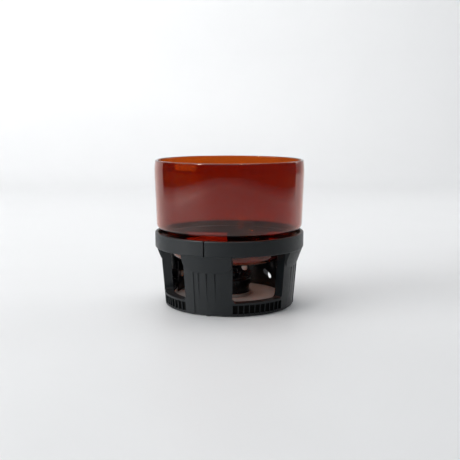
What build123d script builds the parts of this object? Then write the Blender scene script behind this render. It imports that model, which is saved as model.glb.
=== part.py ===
"""Table warmer with a spirit burner: an amber glass bowl on a moulded four-pillar stand.

Millimetres, +Z up. The origin is on the table, on the stand's axis. Angles turn about +Z from +X.
"""
from build123d import *
from math import atan2, cos, degrees, pi, radians, sin, sqrt, tan
import os

# Stand: a moulded wall that leans outwards, cut into four pillars by four windows.
stand_bottom = 0.8          # height of the stand's lower edge over the table
base_radius = 60.8          # outer radius of the wall at its lower edge
wall_flare = 4.4            # how much wider the wall is under the seat ring
shoulder_height = 55.0      # height of the wall, where the seat ring starts
wall_depth = 8.5            # radial depth of the wall
pillar_count = 4
pillar_angle = 42.0         # how much of the circle each pillar takes
front_pillar_turn = -108.5  # direction of the first pillar
sill_height = 12.5          # height of the window sills
sill_corner = 4.0           # rounding of the lower corners of the windows
pocket_skin = 3.0           # moulded skin left around the hollow in the back of each pillar
rib_pitch = 4.8             # angle from rib to rib under the sills
rib_width = 0.8
rib_recess = 1.4            # depth of the hollows between the ribs
rib_margin = 1.8            # plain edge above and below the ribs

# Seat ring on top of the wall, and the retaining band around it.
seat_step = 1.8             # how far the seat ring stands out from the wall
seat_width = 6.6
seat_height = 9.0
band_thickness = 3.0
band_height = 14.0
band_slot = 1.2             # gap where the band is split
band_edge_round = 0.9
band_lip_depth = 1.6        # how far the band's lip reaches in over the seat ring
band_lip_height = 1.6

# Corbels: the head of each pillar flares out to carry the band.
corbel_height = 15.0
corbel_set_back = 0.5       # how far the corbel stays behind the band's face
corbel_corner = 9.5

# Recessed panel with tapering flutes on each pillar.
panel_angle = 23.6
panel_recess = 0.6
flute_pitch = 7.1
flute_count = 3
flute_length = 27.0
flute_depth = 0.9
flute_width = 2.2
flute_top_gap = 1.0

# Inner ledge, tray, base plate and feet.
ledge_width = 9.8
ledge_top = 7.2
ledge_thickness = 2.5
tray_thickness = 0.8
tray_gap = 0.4              # between the tray's rim and the wall
tray_rim_height = 2.4
bead_gap = 3.4              # between the burner and the round bead in the tray
bead_width = 2.0
bead_height = 0.5
bead_slope = 0.4
plate_bottom = 1.4
plate_thickness = 2.0
plate_gap = 0.5
plate_rib_width = 2.0
plate_rib_gap = 1.0         # between the outer rib and the ledge
plate_post_radius = 3.0
rivet_inset = 3.2           # from the ledge's inner edge to the rivets
rivet_radius = 1.5
rivet_head_radius = 2.6
rivet_head_height = 1.0
rivet_head_round = 0.8
screw_turn = 45.0           # the screws stand between the rivets
screw_radius = 1.5
screw_head_radius = 2.8
screw_head_height = 1.6
screw_sink = 0.2            # how far the heads lie inside the base plate
cross_length = 3.6
cross_width = 0.8
cross_depth = 0.6
foot_radius = 3.4
foot_pocket = 1.6
foot_margin = 0.4           # between the foot and the recessed panel
foot_edge = 0.25

# Wind shield behind the burner.
shield_gap = 1.4            # between the shield and the tray's rim
shield_sheet = 0.8
shield_clear = 6.2          # from the shield's top to the underside of the bowl
shield_end_margin = 10.2    # angle from its ends to the front edges of the side pillars
hem_height = 1.4
hem_radius_step = 0.5
vent_length = 13.0
vent_width = 4.6
vent_tilt = 29.0
vent_rise = 12.5            # height of the vents over the tray
vent_turns = (31.3, 78.0)   # each pair of vents, to either side of the rear pillar
shield_screw_rise = 16.0
shield_screw_radius = 1.4
shield_screw_head_radius = 3.0
shield_screw_head_height = 1.2
shield_screw_grip = 3.5     # how deep the screws go into the bosses
screw_hole_spare = 0.5
boss_radius = 4.0
joint_overlap = 0.5         # how far moulded features run into the wall they join

# Glass bowl: a wide wall, a sloping shoulder, and a narrower pot that hangs inside the seat ring.
bowl_sink = 20.0            # how far the bowl's underside hangs below the seat
bowl_height = 92.0          # from the underside to the lip
pot_gap = 4.4               # between the pot and the seat ring
pot_foot_round = 8.0
pot_neck_round = 4.0        # hollow bend between the pot and the shoulder
bowl_slope = 50.0           # slope of the shoulder, from the horizontal
bowl_overhang = 1.4         # how far the bowl's wall stands out over the seat ring
bowl_waist_rise = 13.0      # height of the waist's bend over the seat
bowl_waist_round = 6.5
bowl_flare = 1.75           # how much wider the bowl is near its mouth than at the waist
lip_height = 7.0
lip_turn_in = 0.95
glass_wall = 2.4
lip_round = 0.9

# Seat pads under the bowl.
pad_angle = 11.0
pad_depth = 4.4
pad_pocket = 2.0
pad_height = 6.2
pad_gap = 0.3               # between the glass and the pads
pad_wall = 0.5              # between the pocket and the seat ring's inner face

# Spirit burner.
burner_radius = 19.0
burner_round = 4.0
cup_height = 15.0
cup_sheet = 0.7
burner_seat_gap = 0.3
locator_width = 1.8
locator_height = 3.0
fuel_pad_height = 10.5
fuel_pad_gap = 0.3
gauze_thickness = 0.5
gauze_ring_width = 2.2
gauze_ring_height = 1.0
cap_sheet = 1.0
cap_skirt = 5.0
cap_gap = 0.05
flame_radius = 7.6
chimney_wall = 1.0
chimney_height = 7.0
air_hole_count = 12
air_hole_radius = 1.5
air_hole_inset = 3.2        # from the regulator's edge to the middle of the holes
regulator_thickness = 0.9
regulator_inset = 1.4       # from the edge of the cup to the edge of the regulator
running_gap = 0.05
regulator_arm_width = 4.0
regulator_arm_length = 12.4
regulator_turn = -125.0     # direction of the regulator's arm at rest
grip_radius = 2.4
grip_length = 8.0
grip_overlap = 4.8          # how far the grip covers the arm
grip_round = 1.1
collar_width = 2.4
collar_height = 4.4
collar_groove_width = 1.6
collar_groove_depth = 0.4
collar_edge = 0.3

# Sizes that follow.
pillar_turns = [front_pillar_turn + 360 / pillar_count * i for i in range(pillar_count)]
window_angle = 360 / pillar_count - pillar_angle
window_turns = [turn + 180 / pillar_count for turn in pillar_turns]
screw_turns = [turn + screw_turn for turn in pillar_turns]
rear_turn = front_pillar_turn + 180
shield_screw_turns = [rear_turn - 90, rear_turn, rear_turn + 90]
wall_lean = wall_flare / (shoulder_height - stand_bottom)
seat_top = shoulder_height + seat_height
seat_outer_radius = base_radius + wall_flare + seat_step
seat_inner_radius = seat_outer_radius - seat_width
pad_inner_radius = seat_inner_radius + pad_wall
pad_outer_radius = pad_inner_radius + pad_depth
band_radius = seat_outer_radius + band_thickness
ledge_bottom = ledge_top - ledge_thickness
ledge_outer_radius = base_radius - wall_depth + wall_lean * (ledge_top - stand_bottom)
ledge_inner_radius = ledge_outer_radius - ledge_width
rivet_circle_radius = ledge_inner_radius + rivet_inset
tray_floor = ledge_top + tray_thickness
tray_radius = ledge_outer_radius - tray_gap
shield_radius = tray_radius - tray_thickness - shield_gap
shield_screw_height = tray_floor + shield_screw_rise
bowl_floor_height = seat_top - bowl_sink
shield_top = bowl_floor_height - shield_clear
bowl_top = bowl_floor_height + bowl_height
pot_radius = seat_inner_radius - pot_gap
bowl_waist_radius = seat_outer_radius + bowl_overhang
bowl_mouth_radius = bowl_waist_radius + bowl_flare
bowl_lip_radius = bowl_mouth_radius - lip_turn_in
cup_top = tray_floor + cup_height
cup_inner_radius = burner_radius - cup_sheet
fuel_pad_radius = cup_inner_radius - fuel_pad_gap
fuel_pad_top = tray_floor + cup_sheet + fuel_pad_height
cap_top = cup_top + cap_sheet
cap_radius = burner_radius + cap_gap + cap_sheet
chimney_radius = flame_radius + chimney_wall
regulator_bottom = cap_top + running_gap
regulator_top = regulator_bottom + regulator_thickness
regulator_radius = burner_radius - regulator_inset
regulator_arm_reach = regulator_radius + regulator_arm_length
air_hole_circle_radius = regulator_radius - air_hole_inset
collar_bottom = regulator_top + running_gap
reach = 100.0               # long enough to cut through any wall


def wall_radius(height):
    """Outer radius of the leaning wall at a height."""
    return base_radius + wall_lean * (height - stand_bottom)


def turned(face_points, angle, middle):
    """Solid of a (radius, height) outline turned through an angle about +Z, centred on a direction."""
    outline = Plane.XZ * make_face(Polyline(*face_points, close=True).edges())
    solid = revolve(outline, Axis.Z, revolution_arc=angle)
    return Rot(0, 0, middle - angle / 2) * solid


def ring(inner, outer, low, high, angle=360.0, middle=0.0):
    """Plain ring, or a stretch of it."""
    return turned([(inner, low), (outer, low), (outer, high), (inner, high)], angle, middle)


def disc(radius, low, high):
    return Pos(0, 0, low) * Cylinder(radius, high - low, align=(Align.CENTER, Align.CENTER, Align.MIN))


def on_circle(radius, turn):
    return Pos(radius * cos(radians(turn)), radius * sin(radians(turn)), 0)


def outward(turn, height):
    """Plane through the axis that looks outwards: x along the wall, y up."""
    along = (-sin(radians(turn)), cos(radians(turn)), 0)
    return Plane(origin=(0, 0, height), x_dir=along, z_dir=(cos(radians(turn)), sin(radians(turn)), 0))


def radial_rod(radius, start, end, turn, height):
    """Rod that points outwards, from one distance from the axis to another."""
    rod = Cylinder(radius, end - start, align=(Align.CENTER, Align.CENTER, Align.MIN))
    return Pos(0, 0, height) * Rot(0, 0, turn) * Pos(start, 0, 0) * Rot(0, 90, 0) * rod


# ---- Stand ----

def along_wall(low, high, depth, outer):
    """Outline that follows the wall, from a depth behind its outer face to a place on or outside it."""
    return [(wall_radius(low) - depth, low), (outer(low), low),
            (outer(high), high), (wall_radius(high) - depth, high)]


def beyond(height):
    return reach


def window_cutter(turn):
    cutter = ring(ledge_inner_radius, reach, sill_height, shoulder_height, window_angle, turn)
    return fillet(cutter.edges().filter_by(GeomType.LINE).group_by(Axis.Z)[0], sill_corner)


def rib_cutter(turn):
    """Hollows between the ribs under one sill."""
    low = stand_bottom + rib_margin
    high = sill_height - rib_margin
    hollow = turned(along_wall(low, high, rib_recess, beyond), window_angle, turn)
    count = round(window_angle / rib_pitch)
    for i in range(count + 1):
        rib_turn = turn - window_angle / 2 + i * window_angle / count
        hollow -= Rot(0, 0, rib_turn) * Pos(reach / 2, 0, 0) * Box(reach, rib_width, 2 * sill_height)
    return hollow


def corbel(turn):
    """Head of a pillar, with rounded lower corners."""
    low = shoulder_height - corbel_height
    inner = wall_radius(low) - wall_depth / 2
    flare = turned([(inner, low), (wall_radius(low), low), (band_radius - corbel_set_back, shoulder_height),
                    (inner, shoulder_height)], pillar_angle, turn)
    width = 2 * wall_radius(shoulder_height) * sin(radians(pillar_angle / 2))
    front = Rectangle(width, 2 * corbel_height)
    front = fillet(front.vertices().group_by(Axis.Y)[0], corbel_corner)
    return flare & outward(turn, shoulder_height) * extrude(front, reach)


def flutes(turn):
    """Tapering grooves, deepest under the corbel and fading out towards the base."""
    top = shoulder_height - corbel_height - flute_top_gap
    face = wall_radius(top) - panel_recess
    spread = (flute_depth + reach) / flute_depth
    section = make_face(Polyline(
        (-flute_depth, 0), (reach, -spread * flute_width / 2), (reach, spread * flute_width / 2),
        close=True).edges())
    lean = degrees(atan2(flute_depth - wall_lean * flute_length, flute_length))
    groove = Pos(face, 0, top) * Rot(0, -lean, 0) * extrude(section, -flute_length)
    offsets = [(i - (flute_count - 1) / 2) * flute_pitch for i in range(flute_count)]
    return [Rot(0, 0, turn + offset) * groove for offset in offsets]


def panel_cutter(turn):
    high = shoulder_height - corbel_height
    return turned(along_wall(stand_bottom, high, panel_recess, beyond), panel_angle, turn)


def pillar_hollow(turn):
    """Hollow moulded into the back of a pillar."""
    low = sill_height + pocket_skin
    high = shoulder_height - pocket_skin
    side = degrees(pocket_skin / wall_radius(low))
    hollow = turned(along_wall(low, high, pocket_skin, lambda height: 0), pillar_angle - 2 * side, turn)
    return hollow


def boss(turn):
    """Boss for a shield screw, joined to the skin of the pillar behind it."""
    end = wall_radius(shield_screw_height) - pocket_skin + joint_overlap
    return radial_rod(boss_radius, shield_radius, end, turn, shield_screw_height)


def pad_block(turn, low, high):
    return ring(pad_inner_radius, pad_outer_radius, low, high, pad_angle, turn)


def foot_place(turn):
    return on_circle(base_radius - panel_recess - foot_margin - foot_radius, turn)


def stand_frame():
    wall = turned(along_wall(stand_bottom, shoulder_height, wall_depth, wall_radius), 360, 0)
    for turn in window_turns:
        wall -= window_cutter(turn)
        wall -= rib_cutter(turn)
    for turn in pillar_turns:
        wall += corbel(turn)
        wall -= panel_cutter(turn)
        for flute in flutes(turn):
            wall -= flute
        wall -= pillar_hollow(turn)
    wall += ring(seat_inner_radius, seat_outer_radius, shoulder_height, seat_top)
    wall += ring(ledge_inner_radius, ledge_outer_radius + joint_overlap, ledge_bottom, ledge_top)
    for turn in shield_screw_turns:
        wall += boss(turn)
        hole_end = shield_radius + shield_screw_grip + screw_hole_spare
        wall -= radial_rod(shield_screw_radius, 0, hole_end, turn, shield_screw_height)
    for turn in pillar_turns:
        wall -= pad_block(turn, seat_top - pad_pocket, reach)
        wall -= foot_place(turn) * disc(foot_radius, 0, stand_bottom + foot_pocket)
        wall -= on_circle(rivet_circle_radius, turn) * disc(rivet_radius, 0, ledge_top)
    for turn in screw_turns:
        wall -= on_circle(rivet_circle_radius, turn) * disc(screw_radius, 0, ledge_top)
    return wall


def retaining_band():
    low = shoulder_height
    high = low + band_height
    edge = band_edge_round
    outer, inner = band_radius, seat_outer_radius
    lip = inner - band_lip_depth
    outline = Polyline(
        (inner, low), (outer - edge, low), (outer, low + edge), (outer, high - edge),
        (outer - edge, high), (inner + edge / 2, high), (inner, high - edge / 2),
        (inner, seat_top + band_lip_height), (lip, seat_top + band_lip_height),
        (lip, seat_top), (inner, seat_top), close=True)
    band = revolve(Plane.XZ * make_face(outline.edges()), Axis.Z)
    slot = Rot(0, 0, front_pillar_turn) * Pos(band_radius, 0, low + band_height / 2)
    return band - slot * Box(band_radius, band_slot, 2 * band_height)


# ---- Base ----

def base_plate():
    plate_radius = wall_radius(plate_bottom) - wall_depth - plate_gap
    top = plate_bottom + plate_thickness
    plate = disc(plate_radius, plate_bottom, top)
    for rib_radius in (ledge_inner_radius - plate_rib_gap, burner_radius):
        plate += ring(rib_radius - plate_rib_width, rib_radius, plate_bottom, ledge_bottom)
    for turn in screw_turns:
        place = on_circle(rivet_circle_radius, turn)
        plate += place * disc(plate_post_radius, plate_bottom, ledge_bottom)
        plate -= place * disc(screw_radius, 0, ledge_bottom)
        plate -= place * disc(screw_head_radius, 0, plate_bottom + screw_head_height)
    for turn in pillar_turns:
        plate -= on_circle(rivet_circle_radius, turn) * disc(rivet_head_radius + plate_gap, 0, ledge_bottom)
    return plate


def cross_recess():
    """Cross for a screwdriver, cut from a head's face at z = 0 to both sides."""
    return Box(cross_length, cross_width, 2 * cross_depth) + Box(cross_width, cross_length, 2 * cross_depth)


def base_screws():
    """From below, through the base plate into the ledge."""
    low = plate_bottom + screw_sink
    head = disc(screw_head_radius, low, plate_bottom + screw_head_height)
    screw = head + disc(screw_radius, low, ledge_top) - Pos(0, 0, low) * cross_recess()
    return [on_circle(rivet_circle_radius, turn) * screw for turn in screw_turns]


def foot(turn):
    body = disc(foot_radius, 0, stand_bottom + foot_pocket)
    return foot_place(turn) * chamfer(body.edges().group_by(Axis.Z)[0], foot_edge)


def reflector_tray():
    rim_top = tray_floor + tray_rim_height
    floor = disc(tray_radius, ledge_top, tray_floor)
    rim = ring(tray_radius - tray_thickness, tray_radius, ledge_top, rim_top)
    bead_inner = burner_radius + bead_gap
    bead = ring(bead_inner, bead_inner + bead_width, ledge_top, tray_floor + bead_height)
    tray = floor + rim + chamfer(bead.edges().group_by(Axis.Z)[-1], bead_slope)
    for turn in pillar_turns:
        tray -= on_circle(rivet_circle_radius, turn) * disc(rivet_radius, 0, tray_floor)
    return tray


def tray_rivets():
    low_head = disc(rivet_head_radius, ledge_bottom - rivet_head_height / 2, ledge_bottom)
    shank = disc(rivet_radius, ledge_bottom, tray_floor)
    head = disc(rivet_head_radius, tray_floor, tray_floor + rivet_head_height)
    head = fillet(head.edges().group_by(Axis.Z)[-1], rivet_head_round)
    return [on_circle(rivet_circle_radius, turn) * (low_head + shank + head) for turn in pillar_turns]


def vent(turn):
    slot = extrude(SlotOverall(vent_length, vent_width), reach)
    return outward(turn, tray_floor + vent_rise) * Rot(0, 0, vent_tilt) * slot


def wind_shield():
    arc = 180 + pillar_angle - 2 * shield_end_margin
    inner = shield_radius - shield_sheet
    hem_low = shield_top - hem_height
    shield = ring(inner, shield_radius, tray_floor, shield_top, arc, rear_turn)
    shield += ring(inner - hem_radius_step, shield_radius, hem_low, shield_top, arc, rear_turn)
    for side in (-1, 1):
        for turn in vent_turns:
            shield -= vent(rear_turn + side * turn)
    for turn in shield_screw_turns:
        shield -= radial_rod(shield_screw_radius, 0, reach, turn, shield_screw_height)
    return shield


def shield_screws():
    """Their heads touch the curved shield along two edges."""
    inner = shield_radius - shield_sheet
    head_end = sqrt(inner ** 2 - shield_screw_head_radius ** 2)
    head_start = head_end - shield_screw_head_height
    screws = []
    for turn in shield_screw_turns:
        head = radial_rod(shield_screw_head_radius, head_start, head_end, turn, shield_screw_height)
        shank = radial_rod(shield_screw_radius, head_start, shield_radius + shield_screw_grip, turn,
                           shield_screw_height)
        face = Pos(0, 0, shield_screw_height) * Rot(0, 0, turn) * Pos(head_start, 0, 0) * Rot(0, 90, 0)
        screws.append(head + shank - face * cross_recess())
    return screws


# ---- Bowl ----

def bend(centre, radius, start, end):
    """Arc about a centre. Angle 0 is straight down, 90 degrees is straight out."""
    points = [(centre[0] + radius * sin(angle), centre[1] - radius * cos(angle))
              for angle in (start, (start + end) / 2, end)]
    return ThreePointArc(*points)


def bowl_profile(inset):
    """The bowl's outline, from the axis to the lip: its outside, or its inside at an inset."""
    slope = radians(bowl_slope)
    out = pi / 2
    foot_centre = (pot_radius - pot_foot_round, bowl_floor_height + pot_foot_round)
    waist_centre = (bowl_waist_radius - bowl_waist_round, seat_top + bowl_waist_rise)
    # The shoulder touches the neck's bend and the waist's bend, which sets the neck's height.
    neck_radius = pot_radius + pot_neck_round
    step_in = waist_centre[0] - neck_radius
    neck_drop = (step_in * sin(slope) + pot_neck_round + bowl_waist_round) / cos(slope)
    neck_centre = (neck_radius, waist_centre[1] - neck_drop)
    foot = bend(foot_centre, pot_foot_round - inset, 0, out)
    neck = bend(neck_centre, -(pot_neck_round + inset), out, slope)
    waist = bend(waist_centre, bowl_waist_round - inset, slope, out)
    mouth = (bowl_mouth_radius - inset, bowl_top - lip_height)
    return [
        Line((0, bowl_floor_height + inset), foot @ 0),
        foot,
        Line(foot @ 1, neck @ 0),
        neck,
        Line(neck @ 1, waist @ 0),
        waist,
        Line(waist @ 1, mouth),
        Line(mouth, (bowl_lip_radius - inset, bowl_top)),
    ]


def glass_bowl():
    outside = bowl_profile(0)
    inside = bowl_profile(glass_wall)
    rim = Line((bowl_lip_radius, bowl_top), (bowl_lip_radius - glass_wall, bowl_top))
    axis = Line((0, bowl_floor_height), (0, bowl_floor_height + glass_wall))
    bowl = revolve(Plane.XZ * make_face([*outside, rim, *inside, axis]), Axis.Z)
    lip = bowl.edges().filter_by(GeomType.CIRCLE).group_by(Axis.Z)[-1]
    return fillet(lip, lip_round)


def seat_pad(turn):
    """Silicone pad whose face follows the bowl's shoulder."""
    block = pad_block(turn, seat_top - pad_pocket, seat_top - pad_pocket + pad_height)
    rim = Line((bowl_lip_radius + pad_gap, bowl_top), (0, bowl_top))
    axis = Line((0, bowl_floor_height - pad_gap), (0, bowl_top))
    glass = revolve(Plane.XZ * make_face([*bowl_profile(-pad_gap), rim, axis]), Axis.Z)
    return block - glass


# ---- Burner ----

def burner_cup():
    cup = disc(burner_radius, tray_floor, cup_top)
    cup = fillet(cup.edges().group_by(Axis.Z)[0], burner_round)
    hollow = disc(cup_inner_radius, tray_floor + cup_sheet, reach)
    return cup - fillet(hollow.edges().group_by(Axis.Z)[0], burner_round - cup_sheet)


def fuel_pad():
    pad = disc(fuel_pad_radius, tray_floor + cup_sheet, fuel_pad_top)
    return fillet(pad.edges().group_by(Axis.Z)[0], burner_round)


def wick_gauze():
    return disc(fuel_pad_radius, fuel_pad_top, fuel_pad_top + gauze_thickness)


def gauze_ring():
    low = fuel_pad_top + gauze_thickness
    return ring(cup_inner_radius - gauze_ring_width, cup_inner_radius, low, low + gauze_ring_height)


def air_holes():
    """Cutters for the air holes, in the cap and in the regulator."""
    hole = disc(air_hole_radius, 0, reach)
    return [on_circle(air_hole_circle_radius, i * 360 / air_hole_count) * hole for i in range(air_hole_count)]


def burner_cap():
    cap = disc(cap_radius, cup_top - cap_skirt, cap_top)
    cap = fillet(cap.edges().group_by(Axis.Z)[-1], cap_sheet)
    cap -= disc(burner_radius, 0, cup_top)
    cap += disc(chimney_radius, cup_top, cap_top + chimney_height)
    cap -= disc(flame_radius, 0, reach)
    for hole in air_holes():
        cap -= hole
    return cap


def arm_box():
    """The regulator's arm: it starts inside the ring, so that the two join."""
    start = regulator_radius - regulator_arm_width / 2
    middle = Pos((start + regulator_arm_reach) / 2, 0, (regulator_bottom + regulator_top) / 2)
    box = Box(regulator_arm_reach - start, regulator_arm_width, regulator_thickness)
    return Rot(0, 0, regulator_turn) * middle * box


def regulator_ring():
    regulator = ring(chimney_radius + running_gap, regulator_radius, regulator_bottom, regulator_top)
    regulator += arm_box()
    for hole in air_holes():
        regulator -= hole
    return regulator


def regulator_grip():
    """Round grip pushed over the end of the regulator's arm."""
    start = regulator_arm_reach - grip_overlap
    grip = radial_rod(grip_radius, start, start + grip_length, regulator_turn,
                      (regulator_bottom + regulator_top) / 2)
    return fillet(grip.edges().filter_by(GeomType.CIRCLE), grip_round) - arm_box()


def collar():
    """Turned collar pushed onto the chimney: it holds the regulator down."""
    outer = chimney_radius + collar_width
    middle = collar_bottom + collar_height / 2
    body = ring(chimney_radius, outer, collar_bottom, collar_bottom + collar_height)
    body = chamfer(body.edges().filter_by(GeomType.CIRCLE).group_by(Axis.Z)[-1], collar_edge)
    return body - ring(outer - collar_groove_depth, reach, middle - collar_groove_width / 2,
                       middle + collar_groove_width / 2)


def burner_locator():
    inner = burner_radius + burner_seat_gap
    return ring(inner, inner + locator_width, tray_floor, tray_floor + locator_height)


# ---- All parts ----

side_names = ("front", "right", "rear", "left")
parts = {
    "stand_frame": stand_frame(),
    "retaining_band": retaining_band(),
    "base_plate": base_plate(),
    "base_screws": base_screws(),
    "reflector_tray": reflector_tray(),
    "tray_rivets": tray_rivets(),
    "burner_locator": burner_locator(),
    "wind_shield": wind_shield(),
    "shield_screws": shield_screws(),
    "glass_bowl": glass_bowl(),
    "burner_cup": burner_cup(),
    "fuel_pad": fuel_pad(),
    "wick_gauze": wick_gauze(),
    "gauze_ring": gauze_ring(),
    "burner_cap": burner_cap(),
    "regulator_ring": regulator_ring(),
    "regulator_grip": regulator_grip(),
    "collar": collar(),
}
for side_name, side_turn in zip(side_names, pillar_turns):
    parts["seat_pad_" + side_name] = seat_pad(side_turn)
    parts["foot_" + side_name] = foot(side_turn)

os.makedirs("parts", exist_ok=True)
for node, shape in parts.items():
    pieces = shape if isinstance(shape, list) else [shape]
    solids = [solid for piece in pieces for solid in piece.solids()]
    whole = solids[0] if len(solids) == 1 else Compound(children=solids)
    export_step(whole, f"parts/{node}.step")
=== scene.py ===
"""Finishes the table warmer: amber glass bowl, moulded black stand, sheet metal and spirit burner.

Lengths are metres in the frame's own axes, +Z up, with the first pillar towards -Y.
"""

from math import atan2, cos, degrees, pi, radians, sin, sqrt, tan

import bmesh
import bpy
from mathutils import Matrix, Vector, noise


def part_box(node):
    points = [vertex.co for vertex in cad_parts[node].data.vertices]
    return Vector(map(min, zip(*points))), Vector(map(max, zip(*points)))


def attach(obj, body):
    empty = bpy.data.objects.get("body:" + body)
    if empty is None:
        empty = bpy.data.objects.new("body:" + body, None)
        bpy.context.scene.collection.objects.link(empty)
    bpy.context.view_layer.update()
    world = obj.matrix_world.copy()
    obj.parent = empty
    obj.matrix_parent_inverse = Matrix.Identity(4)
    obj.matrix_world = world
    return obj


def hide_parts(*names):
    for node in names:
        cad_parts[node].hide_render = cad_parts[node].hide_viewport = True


bl_info = {
    "name": "Table warmer finishes",
    "version": (1, 0, 0),
    "blender": (4, 5, 0),
    "location": "View3D > Sidebar > Warmer",
    "description": "Builds the finished pieces and materials of a table warmer with a spirit burner",
    "category": "Object",
}

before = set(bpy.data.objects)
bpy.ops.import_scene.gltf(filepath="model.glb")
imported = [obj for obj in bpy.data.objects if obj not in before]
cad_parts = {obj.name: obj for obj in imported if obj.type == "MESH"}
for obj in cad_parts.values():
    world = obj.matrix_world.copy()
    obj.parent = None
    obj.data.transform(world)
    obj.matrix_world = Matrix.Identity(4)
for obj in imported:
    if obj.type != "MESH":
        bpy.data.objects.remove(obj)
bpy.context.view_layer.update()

MM = 0.001
SIDES = ("front", "right", "rear", "left")
FRONT_PILLAR_TURN = radians(-108.5)
FULL_TURN = 2 * pi


def span(node):
    """Bottom, top and outer radius of a round node's box."""
    low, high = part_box(node)
    return low.z, high.z, (high.x - low.x) / 2


# ---- Sizes and colours that a user would change ----

class WarmerGlass(bpy.types.PropertyGroup):
    colour: bpy.props.FloatVectorProperty(
        name="Colour", description="What one wall of the glass lets through",
        size=3, subtype="COLOR", min=0.0, max=1.0, default=(0.40, 0.064, 0.006))
    cast: bpy.props.FloatVectorProperty(
        name="Cast light", description="What one wall lets through on to the things around it",
        size=3, subtype="COLOR", min=0.0, max=1.0, default=(0.60, 0.56, 0.54))
    wall: bpy.props.FloatProperty(
        name="Wall", description="Thickness of the glass", unit="LENGTH", default=2.4 * MM)
    pot: bpy.props.FloatProperty(
        name="Pot radius", description="Outer radius of the pot under the shoulder", unit="LENGTH",
        default=56.0 * MM)
    foot_round: bpy.props.FloatProperty(
        name="Foot rounding", description="Radius of the bend at the foot", unit="LENGTH",
        default=8.0 * MM)
    neck_round: bpy.props.FloatProperty(
        name="Neck rounding", description="Radius of the hollow bend over the pot", unit="LENGTH",
        default=4.0 * MM)
    slope: bpy.props.FloatProperty(
        name="Shoulder slope", description="Slope of the shoulder, from the horizontal",
        subtype="ANGLE", default=radians(50.0))
    waist: bpy.props.FloatProperty(
        name="Waist radius", description="Outer radius at the foot of the wall", unit="LENGTH",
        default=68.4 * MM)
    waist_height: bpy.props.FloatProperty(
        name="Waist height", description="Height of the corner between shoulder and wall",
        unit="LENGTH", default=74.63 * MM)
    waist_round: bpy.props.FloatProperty(
        name="Waist rounding", description="Radius of the bend at the waist", unit="LENGTH",
        default=6.5 * MM)
    mouth_drop: bpy.props.FloatProperty(
        name="Mouth drop", description="How far under the lip the bowl is widest", unit="LENGTH",
        default=7.0 * MM)
    lip_inset: bpy.props.FloatProperty(
        name="Lip inset", description="How far the lip turns in from the widest place",
        unit="LENGTH", default=0.95 * MM)
    steps: bpy.props.IntProperty(
        name="Steps", description="Steps round the bowl", min=24, default=160)


class WarmerPlastic(bpy.types.PropertyGroup):
    colour: bpy.props.FloatVectorProperty(
        name="Colour", description="Colour of the moulded parts", size=3, subtype="COLOR",
        min=0.0, max=1.0, default=(0.0078, 0.0100, 0.0115))
    roughness: bpy.props.FloatProperty(
        name="Roughness", description="Roughness of the moulded skin", subtype="FACTOR",
        min=0.0, max=1.0, default=0.42)
    edge: bpy.props.FloatProperty(
        name="Edge", description="Rounding of the moulded edges", unit="LENGTH",
        default=0.35 * MM)
    # Outer faces inside this radius, between the ribs, take the painted shade.
    hollow: bpy.props.FloatProperty(
        name="Hollow radius", description="Outer faces nearer the axis lie between the ribs",
        unit="LENGTH", default=60.1 * MM)
    band_wall: bpy.props.FloatProperty(
        name="Band wall", description="Thickness of the retaining band", unit="LENGTH",
        default=3.0 * MM)
    band_round: bpy.props.FloatProperty(
        name="Band rounding", description="Rounding of the band's outer edges", unit="LENGTH",
        default=0.9 * MM)
    band_slot: bpy.props.FloatProperty(
        name="Band slot", description="Width of the gap in the band", unit="LENGTH",
        default=1.2 * MM)


class WarmerMetal(bpy.types.PropertyGroup):
    tray: bpy.props.FloatVectorProperty(
        name="Tray", description="Colour of the tray's metal", size=3, subtype="COLOR",
        min=0.0, max=1.0, default=(0.64, 0.64, 0.63))
    steel: bpy.props.FloatVectorProperty(
        name="Steel", description="Colour of screws, rivets and gauze", size=3,
        subtype="COLOR", min=0.0, max=1.0, default=(0.56, 0.55, 0.54))
    enamel: bpy.props.FloatVectorProperty(
        name="Enamel", description="Colour of the enamelled sheet", size=3, subtype="COLOR",
        min=0.0, max=1.0, default=(0.003, 0.003, 0.0035))
    mesh_pitch: bpy.props.FloatProperty(
        name="Mesh pitch", description="Distance from wire to wire in the gauze",
        unit="LENGTH", default=1.0 * MM)


class WarmerStage(bpy.types.PropertyGroup):
    camera_distance: bpy.props.FloatProperty(
        name="Camera distance", description="From the axis to the camera", unit="LENGTH",
        default=0.7203)
    camera_height: bpy.props.FloatProperty(
        name="Camera height", description="Above the table", unit="LENGTH", default=0.1771)
    camera_side: bpy.props.FloatProperty(
        name="Camera side step", description="To the right of the axis", unit="LENGTH",
        default=0.0006)
    camera_tilt: bpy.props.FloatProperty(
        name="Camera tilt", description="How far the camera looks down", subtype="ANGLE",
        default=radians(8.53))
    lens: bpy.props.FloatProperty(
        name="Lens", description="Focal length in millimetres", default=60.1)
    floor: bpy.props.FloatVectorProperty(
        name="Floor", description="Colour of floor and backdrop", size=3, subtype="COLOR",
        min=0.0, max=1.0, default=(0.82, 0.825, 0.83))
    card_side: bpy.props.FloatProperty(
        name="Card distance, side", description="From the axis to the dark cards at the sides",
        unit="LENGTH", default=0.62)
    card_front: bpy.props.FloatProperty(
        name="Card distance, front", description="From the axis to the dark card in front",
        unit="LENGTH", default=0.93)
    card_back: bpy.props.FloatProperty(
        name="Card end", description="How far back the dark cards reach", unit="LENGTH",
        default=0.30)
    card_fade: bpy.props.FloatProperty(
        name="Card fade", description="Height over which the dark cards thicken", unit="LENGTH",
        default=0.045)
    card_height: bpy.props.FloatProperty(
        name="Card height", description="Height of the dark cards", unit="LENGTH", default=0.30)


# ---- Shaders ----

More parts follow.
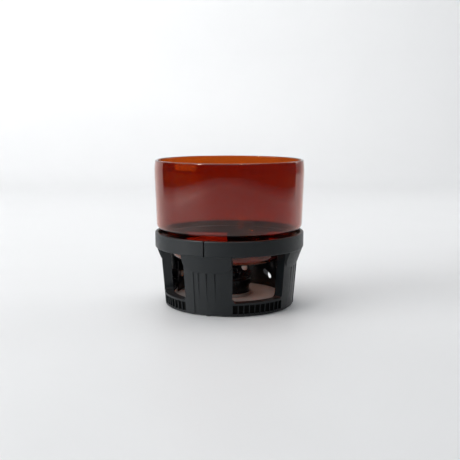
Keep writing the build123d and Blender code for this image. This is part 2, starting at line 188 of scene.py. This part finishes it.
class Wire:
    """A socket that can stand in an expression; each step adds its Math node."""

    def __init__(self, finish, socket):
        self.finish = finish
        self.socket = socket

    def maths(self, operation, first, second):
        return self.finish.node("ShaderNodeMath", {"operation": operation}, {0: first, 1: second})

    def __add__(self, other):
        return self.maths("ADD", self, other)

    def __mul__(self, other):
        return self.maths("MULTIPLY", self, other)


class Finish:
    """One material while its nodes are being made."""

    def __init__(self, name):
        self.material = bpy.data.materials.new(name)
        self.material.use_nodes = True
        self.tree = self.material.node_tree
        self.tree.nodes.clear()
        self.place = self.node("ShaderNodeTexCoord", {}, {}, "Object")

    def node(self, kind, settings, sockets, output=0):
        """Any node: its settings first, then the values or links of its sockets."""
        node = self.tree.nodes.new(kind)
        for key, value in settings.items():
            setattr(node, key, value)
        for key, value in sockets.items():
            if isinstance(value, Wire):
                self.tree.links.new(value.socket, node.inputs[key])
            else:
                node.inputs[key].default_value = value
        return Wire(self, node.outputs[output]) if node.outputs else None

    def noise(self, scale, detail=3.0, roughness=0.5, distortion=0.0, place=None):
        return self.node("ShaderNodeTexNoise", {}, {
            "Vector": place or self.place, "Scale": scale, "Detail": detail,
            "Roughness": roughness, "Distortion": distortion})

    def stretch(self, scale):
        """Object coordinates scaled along each axis, for a grain that runs one way."""
        return self.node("ShaderNodeMapping", {}, {"Vector": self.place, "Scale": scale})

    def range(self, value, low, high, to_low, to_high):
        return self.node("ShaderNodeMapRange", {}, {
            "Value": value, "From Min": low, "From Max": high,
            "To Min": to_low, "To Max": to_high})

    def blend(self, factor, first, second):
        """Mixes two colours."""
        return self.node("ShaderNodeMix", {"data_type": "RGBA"}, {
            "Factor": factor, 6: first, 7: second}, 2)

    def bump(self, height, distance, strength):
        return self.node("ShaderNodeBump", {}, {
            "Height": height, "Distance": distance, "Strength": strength})

    def around(self):
        """Distance from the vertical axis, and height, as two wires."""
        split = self.node("ShaderNodeSeparateXYZ", {}, {"Vector": self.place})
        x, y, z = (Wire(self, split.socket.node.outputs[i]) for i in range(3))
        flat = self.node("ShaderNodeCombineXYZ", {}, {"X": x, "Y": y})
        distance = self.node("ShaderNodeVectorMath", {"operation": "LENGTH"}, {0: flat}, "Value")
        return distance, z

    def surface(self, **sockets):
        named = {key.replace("_", " "): value for key, value in sockets.items()}
        return self.node("ShaderNodeBsdfPrincipled", {}, named)

    def done(self, shader):
        self.node("ShaderNodeOutputMaterial", {}, {"Surface": shader})
        return self.material


def rgba(colour, by=1.0):
    return (*[channel * by for channel in colour], 1.0)


def amber_glass():
    glass = bpy.context.scene.warmer_glass
    finish = Finish("amber_glass")
    ripple = finish.noise(22.0, detail=1.0)
    skin = finish.bump(ripple, 0.25 * MM, 0.5)
    body = finish.surface(
        Base_Color=rgba(glass.colour), Roughness=0.0, IOR=1.5, Transmission_Weight=1.0,
        Normal=skin)
    shadow = finish.node("ShaderNodeLightPath", {}, {}, "Is Shadow Ray")
    diffuse = finish.node("ShaderNodeLightPath", {}, {}, "Is Diffuse Ray")
    cast = finish.node("ShaderNodeBsdfTransparent", {}, {"Color": rgba(glass.cast)})
    return finish.done(finish.node("ShaderNodeMixShader", {}, {0: shadow + diffuse, 1: body, 2: cast}))


def moulded_plastic(name="black_plastic", rougher=0.0):
    """Satin outside; the core side of the mould is polished, so inner faces pass a negative rougher."""
    plastic = bpy.context.scene.warmer_plastic
    finish = Finish(name)
    cloud = finish.noise(60.0, detail=4.0)
    grain = finish.noise(2600.0, detail=2.0)
    colour = finish.blend(cloud, rgba(plastic.colour, 0.8), rgba(plastic.colour, 1.35))
    wear = finish.range(finish.noise(240.0, detail=5.0, roughness=0.7), 0.35, 0.75, -0.05, 0.08)
    return finish.done(finish.surface(
        Base_Color=colour, Roughness=wear + (plastic.roughness + rougher),
        Specular_IOR_Level=0.30, Normal=finish.bump(grain, 0.04 * MM, 0.35)))


def painted_shade_plastic():
    """Painted shade: a duller and darker black on the hollows between the ribs, where shade falls."""
    finish = Finish("painted_shade_plastic")
    cloud = finish.noise(400.0, detail=4.0)
    colour = finish.blend(cloud, (0.0010, 0.0010, 0.0011, 1.0), (0.0028, 0.0027, 0.0026, 1.0))
    return finish.done(finish.surface(
        Base_Color=colour, Roughness=finish.range(cloud, 0.3, 0.7, 0.5, 0.7),
        Specular_IOR_Level=0.06, Normal=finish.bump(cloud, 0.05 * MM, 0.4)))


def rubber():
    finish = Finish("black_rubber")
    bloom = finish.noise(300.0, detail=4.0)
    colour = finish.blend(bloom, (0.012, 0.012, 0.012, 1.0), (0.030, 0.029, 0.028, 1.0))
    grain = finish.noise(3500.0)
    return finish.done(finish.surface(
        Base_Color=colour, Roughness=finish.range(bloom, 0.0, 1.0, 0.62, 0.85),
        Normal=finish.bump(grain, 0.05 * MM, 0.4)))


def black_enamel(name="black_enamel", polish=0.10):
    metal = bpy.context.scene.warmer_metal
    finish = Finish(name)
    peel = finish.noise(420.0, detail=2.0)
    soot = finish.noise(90.0, detail=6.0, roughness=0.65)
    colour = finish.blend(soot, rgba(metal.enamel), rgba(metal.enamel, 2.2))
    return finish.done(finish.surface(
        Base_Color=colour, Roughness=finish.range(soot, 0.3, 0.8, polish, polish + 0.14),
        Specular_IOR_Level=0.18, Normal=finish.bump(peel, 0.05 * MM, 0.4)))


def tray_metal():
    metal = bpy.context.scene.warmer_metal
    finish = Finish("tray_metal")
    distance, _height = finish.around()
    rings = finish.node("ShaderNodeCombineXYZ", {}, {"X": distance * 9000.0})
    turning = finish.noise(1.0, detail=3.0, place=rings)
    stain = finish.noise(55.0, detail=6.0, roughness=0.6)
    heat = finish.range(distance, 20 * MM, 46 * MM, 1.0, 0.0)
    warm = finish.blend(stain * heat, rgba(metal.tray), (0.50, 0.42, 0.37, 1.0))
    return finish.done(finish.surface(
        Base_Color=warm, Metallic=0.50,
        Roughness=finish.range(stain, 0.3, 0.75, 0.34, 0.46) + turning * 0.05,
        Normal=finish.bump(turning, 0.03 * MM, 0.35)))


def bright_steel(name, colour_by=1.0, polish=0.28):
    metal = bpy.context.scene.warmer_metal
    finish = Finish(name)
    grain = finish.noise(1.0, detail=4.0, place=finish.stretch((900.0, 900.0, 9000.0)))
    dull = finish.noise(500.0, detail=5.0)
    colour = finish.blend(dull, rgba(metal.steel, colour_by), rgba(metal.steel, 0.72 * colour_by))
    return finish.done(finish.surface(
        Base_Color=colour, Metallic=1.0, Roughness=finish.range(dull, 0.2, 0.8, polish, polish + 0.2),
        Normal=finish.bump(grain, 0.03 * MM, 0.4)))


def wadding():
    finish = Finish("fuel_wadding")
    fibre = finish.noise(1.0, detail=5.0, roughness=0.7, distortion=1.2,
                         place=finish.stretch((900.0, 1500.0, 1200.0)))
    scorch = finish.noise(110.0, detail=4.0)
    colour = finish.blend(finish.range(scorch, 0.45, 0.75, 0.0, 1.0),
                          (0.74, 0.70, 0.62, 1.0), (0.42, 0.33, 0.22, 1.0))
    return finish.done(finish.surface(
        Base_Color=colour, Roughness=0.92, Sheen_Weight=0.3,
        Normal=finish.bump(fibre, 0.3 * MM, 0.8)))


# ---- Meshes ----

def piece(name, mesh, material, body, slot, *nodes):
    """A finished piece that rides on a body and stands for its nodes."""
    made = bpy.data.objects.new(name, mesh)
    bpy.context.scene.collection.objects.link(made)
    mesh.materials.clear()
    mesh.materials.append(material)
    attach(made, body)
    if nodes:
        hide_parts(*nodes)
    return made


def mesh_from(bm, name, smooth=True):
    mesh = bpy.data.meshes.new(name)
    bm.to_mesh(mesh)
    bm.free()
    if smooth:
        mesh.shade_smooth()
    return mesh


def soften(made, width, angle=radians(32), segments=2):
    """Rounds the sharp edges and evens the shading."""
    bevel = made.modifiers.new("edges", "BEVEL")
    bevel.width = width
    bevel.segments = segments
    bevel.limit_method = "ANGLE"
    bevel.angle_limit = angle
    bevel.use_clamp_overlap = True
    bevel.miter_outer = "MITER_ARC"
    even = made.modifiers.new("shading", "WEIGHTED_NORMAL")
    even.keep_sharp = True


def rounded(outline, closed):
    """A bmesh of an outline's corners (radius, height, rounding), each rounded by a bevel."""
    bm = bmesh.new()
    corners = [bm.verts.new((r, 0.0, z)) for r, z, _round in outline]
    count = len(corners)
    for i in range(count if closed else count - 1):
        bm.edges.new((corners[i], corners[(i + 1) % count]))
    cuts = []
    for i, (r, z, turn_radius) in enumerate(outline):
        if turn_radius <= 0:
            continue
        before, after = outline[i - 1], outline[(i + 1) % count]
        a = atan2(before[1] - z, before[0] - r)
        b = atan2(after[1] - z, after[0] - r)
        inside = abs((a - b + pi) % FULL_TURN - pi)
        cuts.append((corners[i], turn_radius / tan(inside / 2), pi - inside))
    for corner, cut, turn in cuts:
        segments = max(3, round(degrees(turn) / 7))
        bmesh.ops.bevel(bm, geom=[corner], offset=cut, offset_type="OFFSET", affect="VERTICES",
                        segments=segments, profile=0.5, material=-1)
    return bm


def lathe(name, outline, closed=False, steps=128, angle=FULL_TURN, start=0.0):
    """Turns an outline about the vertical axis."""
    bm = rounded(outline, closed)
    whole = abs(angle - FULL_TURN) < 1e-6
    bmesh.ops.rotate(bm, verts=bm.verts, cent=(0, 0, 0), matrix=Matrix.Rotation(start, 3, "Z"))
    bmesh.ops.spin(bm, geom=bm.verts[:] + bm.edges[:], cent=(0, 0, 0), axis=(0, 0, 1), dvec=(0, 0, 0),
                   angle=angle, steps=steps, use_merge=whole, use_normal_flip=False,
                   use_duplicate=False)
    bmesh.ops.remove_doubles(bm, verts=bm.verts, dist=1e-7)
    if not whole:
        open_edges = [edge for edge in bm.edges if edge.is_boundary]
        bmesh.ops.edgeloop_fill(bm, edges=open_edges)
    bmesh.ops.recalc_face_normals(bm, faces=bm.faces)
    return mesh_from(bm, name)


def cad_copy(node, name, flat=radians(0.6)):
    """A merged copy of a node's mesh, its flat faces joined again."""
    bm = bmesh.new()
    bm.from_mesh(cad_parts[node].data)
    bmesh.ops.remove_doubles(bm, verts=bm.verts, dist=1e-6)
    bmesh.ops.dissolve_limit(bm, angle_limit=flat, use_dissolve_boundaries=False,
                             verts=bm.verts, edges=bm.edges, delimit={"NORMAL"})
    return mesh_from(bm, name)


def copied_piece(node, name, material, body, slot, edge):
    made = piece(name, cad_copy(node, name), material, body, slot, node)
    soften(made, edge)
    return made


# ---- Operators ----

class WARMER_OT_stage(bpy.types.Operator):
    """Pale floor, soft studio light and the camera"""
    bl_idname = "warmer.stage"
    bl_label = "Stage"

    def lamp(self, name, place, aim, width, height, power, gloss_only=False):
        data = bpy.data.lights.new(name, "AREA")
        data.shape = "RECTANGLE"
        data.size, data.size_y = width, height
        data.energy = power
        made = bpy.data.objects.new(name, data)
        made.location = place
        made.rotation_euler = (Vector(aim) - Vector(place)).to_track_quat("-Z", "Y").to_euler()
        made.visible_diffuse = not gloss_only
        made.visible_transmission = not gloss_only
        bpy.context.scene.collection.objects.link(made)

    def sheet(self, name, corners, side, material):
        """Upright or lying sheet: a bent line drawn out along X or Z."""
        bm = bmesh.new()
        line = [bm.verts.new(corner) for corner in corners]
        edges = [bm.edges.new(pair) for pair in zip(line, line[1:])]
        wide = bmesh.ops.extrude_edge_only(bm, edges=edges)["geom"]
        moved = [item for item in wide if isinstance(item, bmesh.types.BMVert)]
        bmesh.ops.translate(bm, verts=moved, vec=side)
        bmesh.ops.recalc_face_normals(bm, faces=bm.faces)
        mesh = mesh_from(bm, name)
        mesh.materials.append(material)
        made = bpy.data.objects.new(name, mesh)
        bpy.context.scene.collection.objects.link(made)
        return made

    def floor(self, stage):
        """Floor that curves up into the backdrop."""
        finish = Finish("pale_floor")
        mottle = finish.noise(9.0, detail=5.0, roughness=0.6)
        fold = finish.noise(5.0, detail=2.0)
        shade = finish.blend(mottle, rgba(stage.floor, 0.97), rgba(stage.floor))
        material = finish.done(finish.surface(
            Base_Color=shade, Roughness=0.5, Specular_IOR_Level=0.35,
            Normal=finish.bump(fold, 5 * MM, 0.5)))
        left, front, back, top, bend = -4.0, -3.0, 1.5, 3.0, 0.35
        bend_steps = 12
        line = [(left, front, 0.0), (left, back - bend, 0.0)]
        for step in range(1, bend_steps + 1):
            turn = step / bend_steps * pi / 2
            line.append((left, back - bend + bend * sin(turn), bend * (1 - cos(turn))))
        self.sheet("floor", line + [(left, back, top)], (-2 * left, 0.0, 0.0), material)

    def dark_cards(self, stage):
        """Low dark cards round the front that only show as reflections in the gloss."""
        finish = Finish("dark_card")
        cloth = finish.noise(40.0)
        shade = finish.blend(cloth, (0.045, 0.045, 0.052, 1.0), (0.060, 0.060, 0.066, 1.0))
        _distance, height = finish.around()
        # Painted reflection: alpha thins the cards towards the floor, so the dark they lend the gloss
        # fades at its lower edge.
        reflection_fade = finish.range(height, 0.0, stage.card_fade, 0.0, 1.0)
        material = finish.done(finish.surface(
            Base_Color=shade, Roughness=1.0, Specular_IOR_Level=0.0, Alpha=reflection_fade))
        side, front, back = stage.card_side, stage.card_front, stage.card_back
        lift, arc_steps = 1 * MM, 24
        turns = [step / arc_steps * pi for step in range(arc_steps + 1)]
        line = [(-side * cos(turn), -front * sin(turn), lift) for turn in turns]
        line = [(-side, back, lift), *line, (side, back, lift)]
        cards = self.sheet("dark_cards", line, (0.0, 0.0, stage.card_height), material)
        cards.visible_camera = False
        cards.visible_diffuse = False
        cards.visible_transmission = False
        cards.visible_shadow = False

    def execute(self, context):
        stage = context.scene.warmer_stage
        scene = context.scene
        self.floor(stage)
        self.dark_cards(stage)
        world = bpy.data.worlds.new("studio")
        world.use_nodes = True
        world.node_tree.nodes["Background"].inputs["Color"].default_value = (0.93, 0.96, 1.0, 1.0)
        world.node_tree.nodes["Background"].inputs["Strength"].default_value = 0.23
        scene.world = world
        middle = (0.0, 0.0, 0.07)
        # Each lamp: place, aim, width, height and watts.
        self.lamp("window", (-2.40, -0.85, 0.80), middle, 1.9, 1.3, 62)
        self.lamp("backdrop", (-0.4, 0.5, 1.5), (-0.3, 1.5, 0.5), 1.6, 0.8, 6.0)
        self.lamp("ceiling", (-0.20, 0.25, 1.8), middle, 1.7, 1.2, 11.5)
        self.lamp("fill", (1.3, 0.65, 0.6), middle, 0.6, 0.8, 4.0)
        self.lamp("low_window", (-1.04, -1.08, 0.42), middle, 0.26, 0.10, 2.4)
        self.lamp("glint_left", (-0.86, -0.62, 1.20), middle, 0.36, 0.05, 26, gloss_only=True)
        self.lamp("glint_right", (0.35, -0.90, 1.40), middle, 0.12, 0.05, 8, gloss_only=True)
        data = bpy.data.cameras.new("camera")
        data.sensor_width = 36.0
        data.lens = stage.lens
        data.clip_start = 0.01
        camera = bpy.data.objects.new("camera", data)
        camera.location = (stage.camera_side, -stage.camera_distance, stage.camera_height)
        camera.rotation_euler = (pi / 2 - stage.camera_tilt, 0.0, 0.0)
        scene.collection.objects.link(camera)
        scene.camera = camera
        scene.view_settings.view_transform = "Standard"
        return {"FINISHED"}


class WARMER_OT_bowl(bpy.types.Operator):
    """Thin amber bowl with a fire-polished lip"""
    bl_idname = "warmer.bowl"
    bl_label = "Bowl"

    def execute(self, context):
        glass = context.scene.warmer_glass
        low, high, mouth = span("glass_bowl")
        wall = glass.wall
        lip = mouth - glass.lip_inset
        widest = high - glass.mouth_drop
        belly_round, lip_round = 60 * MM, wall * 0.45
        neck_height = glass.waist_height - (glass.waist - glass.pot) * tan(glass.slope)
        # A wall's width inwards, the slope's corners lie a little higher.
        rise = wall * tan((pi / 2 - glass.slope) / 2)
        outline = [
            (0.0, low, 0), (glass.pot, low, glass.foot_round),
            (glass.pot, neck_height, glass.neck_round),
            (glass.waist, glass.waist_height, glass.waist_round),
            (mouth, widest, belly_round), (lip, high, lip_round),
            (lip - wall, high, lip_round), (mouth - wall, widest, belly_round),
            (glass.waist - wall, glass.waist_height + rise, glass.waist_round - wall),
            (glass.pot - wall, neck_height + rise, glass.neck_round + wall),
            (glass.pot - wall, low + wall, glass.foot_round - wall), (0.0, low + wall, 0),
        ]
        mesh = lathe("bowl", outline, steps=glass.steps)
        piece("bowl", mesh, amber_glass(), "bowl", "amber_glass", "glass_bowl")
        return {"FINISHED"}


class WARMER_OT_stand(bpy.types.Operator):
    """Moulded stand, retaining band and base plate with rounded edges"""
    bl_idname = "warmer.stand"
    bl_label = "Stand"

    def band(self, plastic, material):
        low, high, outer = span("retaining_band")
        inner = outer - plastic.band_wall
        edge = plastic.band_round
        outline = [
            (inner, low, 0.2 * MM), (outer, low, edge), (outer, high, edge), (inner, high, 0.5 * edge),
        ]
        gap = plastic.band_slot / outer
        mesh = lathe("band", outline, closed=True, steps=180, angle=FULL_TURN - gap,
                     start=FRONT_PILLAR_TURN + gap / 2)
        return piece("band", mesh, material, "stand", "black_plastic", "retaining_band")

    def execute(self, context):
        plastic = context.scene.warmer_plastic
        material = moulded_plastic()
        stand = copied_piece("stand_frame", "stand", material, "stand", "black_plastic", plastic.edge)
        stand.data.materials.append(moulded_plastic("polished_plastic", -0.26))
        # Slot 2 holds the painted shade for the hollows between the ribs.
        stand.data.materials.append(painted_shade_plastic())
        ribs_low, ribs_high = 2.5 * MM, 10.8 * MM
        for face in stand.data.polygons:
            away = Vector((face.center.x, face.center.y, 0.0))
            outward = away.normalized().dot(face.normal)
            if outward < 0.25 and abs(face.normal.z) < 0.6:
                face.material_index = 1
            # Outer faces in the hollows between the ribs take the painted shade.
            in_ribs = ribs_low < face.center.z < ribs_high and away.length < plastic.hollow
            if outward > 0.9 and in_ribs:
                face.material_index = 2
        soften(self.band(plastic, material), 0.15 * MM)
        copied_piece("base_plate", "underside", material, "stand", "black_plastic", plastic.edge)
        return {"FINISHED"}


class WARMER_OT_rubber(bpy.types.Operator):
    """Seat pads and feet"""
    bl_idname = "warmer.rubber"
    bl_label = "Pads and feet"

    def execute(self, context):
        material = rubber()
        for side in SIDES:
            for kind in ("seat_pad_", "foot_"):
                copied_piece(kind + side, "rubber_" + kind + side, material, "stand", "black_rubber",
                             0.25 * MM)
        return {"FINISHED"}


class WARMER_OT_sheet_metal(bpy.types.Operator):
    """Tray, locating ring and wind shield"""
    bl_idname = "warmer.sheet_metal"
    bl_label = "Tray and shield"

    def tray(self, material):
        low, high, outer = span("reflector_tray")
        sheet, bend, corner, rim = 0.8 * MM, 0.4 * MM, 1.0 * MM, 0.38 * MM
        top = low + sheet
        bead_in, bead_out, bead_top = 22.4 * MM, 24.4 * MM, top + 0.5 * MM
        outline = [
            (0.0, low, 0), (outer, low, corner), (outer, high, rim), (outer - sheet, high, rim),
            (outer - sheet, top, bend), (bead_out, top, bend), (bead_out - bend, bead_top, bend),
            (bead_in + bend, bead_top, bend), (bead_in, top, bend), (0.0, top, 0),
        ]
        mesh = lathe("tray", outline, steps=144)
        return piece("tray", mesh, material, "stand", "tray_metal", "reflector_tray")

    def execute(self, context):
        self.tray(tray_metal())
        steel = bright_steel("screw_steel")
        enamel = black_enamel()
        copied_piece("burner_locator", "locator", steel, "stand", "screw_steel", 0.2 * MM)
        copied_piece("wind_shield", "shield", enamel, "stand", "black_enamel", 0.15 * MM)
        for node in ("tray_rivets", "base_screws", "shield_screws"):
            copied_piece(node, "bright_" + node, steel, "stand", "screw_steel", 0.15 * MM)
        return {"FINISHED"}


class WARMER_OT_burner(bpy.types.Operator):
    """Spirit burner: cup, wadding, gauze, cap, collar and regulator"""
    bl_idname = "warmer.burner"
    bl_label = "Burner"

    def cup(self, material):
        low, high, outer = span("burner_cup")
        sheet, corner, rim = 0.7 * MM, 4.0 * MM, 0.3 * MM
        outline = [
            (0.0, low, 0), (outer, low, corner), (outer, high, rim), (outer - sheet, high, rim),
            (outer - sheet, low + sheet, corner - sheet), (0.0, low + sheet, 0),
        ]
        mesh = lathe("cup", outline, steps=96)
        return piece("cup", mesh, material, "burner", "black_enamel", "burner_cup")

    def wadding(self, material):
        low, high, outer = span("fuel_pad")
        bump_room, bump_height = 0.8 * MM, 0.7 * MM
        top = high - bump_room
        bm = rounded([(0.0, low, 0), (outer, low, 4.0 * MM), (outer, top, 2.0 * MM), (0.0, top, 0)], False)
        long_edges = [edge for edge in bm.edges if edge.calc_length() > 4 * MM]
        bmesh.ops.subdivide_edges(bm, edges=long_edges, cuts=12)
        bmesh.ops.spin(bm, geom=bm.verts[:] + bm.edges[:], cent=(0, 0, 0), axis=(0, 0, 1),
                       dvec=(0, 0, 0), angle=FULL_TURN, steps=72, use_merge=True,
                       use_normal_flip=False, use_duplicate=False)
        bmesh.ops.remove_doubles(bm, verts=bm.verts, dist=1e-6)
        bmesh.ops.recalc_face_normals(bm, faces=bm.faces)
        for vert in bm.verts:
            if vert.co.z > (low + high) / 2:
                vert.co.z += bump_height * noise.noise(vert.co * 350.0)
        mesh = mesh_from(bm, "wadding")
        return piece("wadding", mesh, material, "burner", "fuel_wadding", "fuel_pad")

    def gauze(self, material, pitch):
        """Plain weave: each wire is a wave, over one crossing wire and under the next."""
        low, high, reach = span("wick_gauze")
        middle = (low + high) / 2
        wire = (high - low) / 4
        curve = bpy.data.curves.new("gauze", "CURVE")
        curve.dimensions = "3D"
        curve.bevel_depth = wire
        curve.bevel_resolution = 0
        curve.use_fill_caps = True
        count = int(reach / pitch)
        for across in (False, True):
            for i in range(-count, count + 1):
                offset = i * pitch
                half = int(sqrt(max(reach ** 2 - offset ** 2, 0.0)) / pitch)
                if half < 1:
                    continue
                spline = curve.splines.new("POLY")
                spline.points.add(4 * half)
                for k, point in enumerate(spline.points):
                    along = (k - 2 * half) * pitch / 2
                    lift = wire * cos(pi * (along / pitch + i + (1 if across else 0)))
                    spot = (offset, along) if across else (along, offset)
                    point.co = (*spot, middle + lift, 1.0)
        strung = bpy.data.objects.new("gauze_curve", curve)
        bpy.context.scene.collection.objects.link(strung)
        bpy.context.view_layer.update()
        mesh = bpy.data.meshes.new_from_object(strung.evaluated_get(
            bpy.context.evaluated_depsgraph_get()))
        bpy.data.objects.remove(strung)
        mesh.shade_smooth()
        return piece("gauze", mesh, material, "burner", "gauze_steel", "wick_gauze")

    def collar(self, material):
        low, high, outer = span("collar")
        width, inner_edge, groove_edge = 2.4 * MM, 0.1 * MM, 0.15 * MM
        inner = outer - width
        middle, half, depth = (low + high) / 2, 0.8 * MM, 0.4 * MM
        outline = [
            (inner, low, inner_edge), (outer, low, 0.25 * MM), (outer, middle - half, groove_edge),
            (outer - depth, middle - half, groove_edge), (outer - depth, middle + half, groove_edge),
            (outer, middle + half, groove_edge), (outer, high, 0.3 * MM), (inner, high, inner_edge),
        ]
        mesh = lathe("chimney_collar", outline, closed=True, steps=96)
        return piece("chimney_collar", mesh, material, "burner", "black_enamel", "collar")

    def execute(self, context):
        metal = context.scene.warmer_metal
        enamel = black_enamel("burner_enamel", 0.14)
        wire = bright_steel("gauze_steel", 0.8, 0.35)
        self.cup(enamel)
        self.wadding(wadding())
        self.gauze(wire, metal.mesh_pitch)
        self.collar(enamel)
        copied_piece("gauze_ring", "gauze_hoop", wire, "burner", "gauze_steel", 0.2 * MM)
        copied_piece("burner_cap", "cap", enamel, "burner", "black_enamel", 0.2 * MM)
        copied_piece("regulator_ring", "regulator", enamel, "regulator", "black_enamel", 0.15 * MM)
        copied_piece("regulator_grip", "grip", moulded_plastic("grip_plastic"), "regulator",
                     "black_plastic", 0.2 * MM)
        return {"FINISHED"}


class WARMER_PT_panel(bpy.types.Panel):
    bl_label = "Table warmer"
    bl_idname = "WARMER_PT_panel"
    bl_space_type = "VIEW_3D"
    bl_region_type = "UI"
    bl_category = "Warmer"

    def draw(self, context):
        layout = self.layout
        for group in GROUPS:
            settings = getattr(context.scene, group)
            box = layout.box()
            box.label(text=group.replace("_", " ").capitalize())
            for key in settings.bl_rna.properties.keys():
                if key not in {"rna_type", "name"}:
                    box.prop(settings, key)
        for operator in OPERATORS:
            layout.operator(operator.bl_idname)


GROUPS = {
    "warmer_stage": WarmerStage, "warmer_glass": WarmerGlass,
    "warmer_plastic": WarmerPlastic, "warmer_metal": WarmerMetal,
}
OPERATORS = (WARMER_OT_stage, WARMER_OT_bowl, WARMER_OT_stand, WARMER_OT_rubber,
             WARMER_OT_sheet_metal, WARMER_OT_burner)


def register():
    for made in (*GROUPS.values(), *OPERATORS, WARMER_PT_panel):
        bpy.utils.register_class(made)
    for name, group in GROUPS.items():
        setattr(bpy.types.Scene, name, bpy.props.PointerProperty(type=group))


def unregister():
    for name in GROUPS:
        delattr(bpy.types.Scene, name)
    for made in (WARMER_PT_panel, *reversed(OPERATORS), *GROUPS.values()):
        bpy.utils.unregister_class(made)


def main():
    register()
    for operator in OPERATORS:
        group, name = operator.bl_idname.split(".")
        getattr(getattr(bpy.ops, group), name)()


if __name__ == "__main__":
    main()
